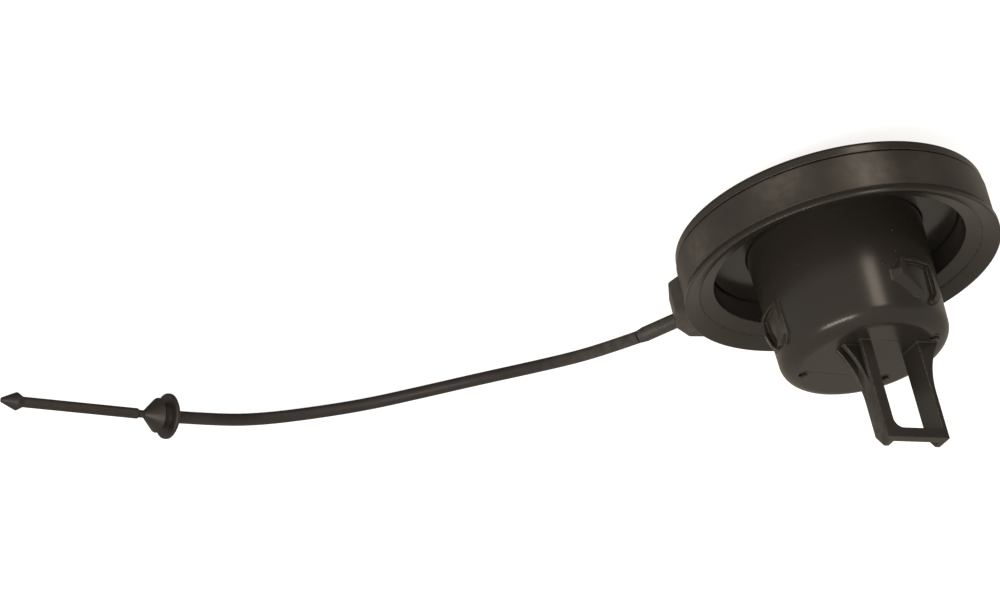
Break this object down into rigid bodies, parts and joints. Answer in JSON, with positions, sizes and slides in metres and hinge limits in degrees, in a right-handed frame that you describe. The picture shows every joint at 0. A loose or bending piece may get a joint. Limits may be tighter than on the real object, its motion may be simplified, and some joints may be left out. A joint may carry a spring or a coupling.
{
  "type": "fuel filler cap",
  "caption": "Screw-in fuel filler cap with a ribbed grip, bayonet lugs, a two-legged prong, relief valves and a tether with a push-in anchor.",
  "frame": {"origin": "centre of the grip's flat top face, on which the cap stands", "axes": "+Z along the cap's axis from the grip to the tip of the prong, +X along the grip bar, the tether leaves near +X"},
  "size_m": [0.241, 0.096, 0.0731],
  "materials": {
    "black_moulding": "semi-gloss moulded acetal, warm near-black",
    "band_moulding": "fine matte moulding, slightly mottled",
    "tether_rubber": "satin elastomer, warm near-black",
    "inner_plastic": "natural acetal",
    "spring_steel": "drawn spring steel",
    "gasket_rubber": "matte black sealing rubber"
  },
  "bodies": {
    "cover": {"grip_cover": "black_moulding", "retaining_ring": "spring_steel", "post_clip": "spring_steel"},
    "tether": {"tether_ring": "band_moulding", "cord_ferrule": "tether_rubber", "tether_cord": "tether_rubber", "anchor_plug": "tether_rubber"},
    "drive": {"drive_disc": "inner_plastic", "lost_motion_spring": "spring_steel"},
    "plug": {"closure_plug": "black_moulding", "neck_gasket": "gasket_rubber", "valve_housing": "inner_plastic", "housing_seal": "gasket_rubber", "spring_retainer": "inner_plastic", "pressure_spring": "spring_steel"},
    "pressure_valve": {"pressure_plate": "inner_plastic", "pressure_seal": "gasket_rubber", "vacuum_spring": "spring_steel"},
    "vacuum_valve": {"vacuum_valve": "inner_plastic", "stem_nut": "spring_steel"}
  },
  "joints": [
    {"name": "grip_free_play", "type": "hinge", "parent": "cover", "child": "drive", "pos_m": [0, 0, 0.0154], "axis": [0, 0, 1], "range_deg": [0, 25], "stiffness_Nm_per_rad": 0.02, "deforming": ["lost_motion_spring"]},
    {"name": "ratchet", "type": "hinge", "parent": "drive", "child": "plug", "pos_m": [0, 0, 0.0154], "axis": [0, 0, 1], "continuous": true},
    {"name": "band_swivel", "type": "hinge", "parent": "cover", "child": "tether", "pos_m": [0, 0, 0.0178], "axis": [0, 0, 1], "continuous": true},
    {"name": "pressure_lift", "type": "slide", "parent": "plug", "child": "pressure_valve", "axis": [0, 0, -1], "range_m": [0, 0.0025], "stiffness_N_per_m": 400, "deforming": ["pressure_spring"]},
    {"name": "vacuum_lift", "type": "slide", "parent": "pressure_valve", "child": "vacuum_valve", "axis": [0, 0, 1], "range_m": [0, 0.0015], "stiffness_N_per_m": 60, "deforming": ["vacuum_spring"]}
  ]
}
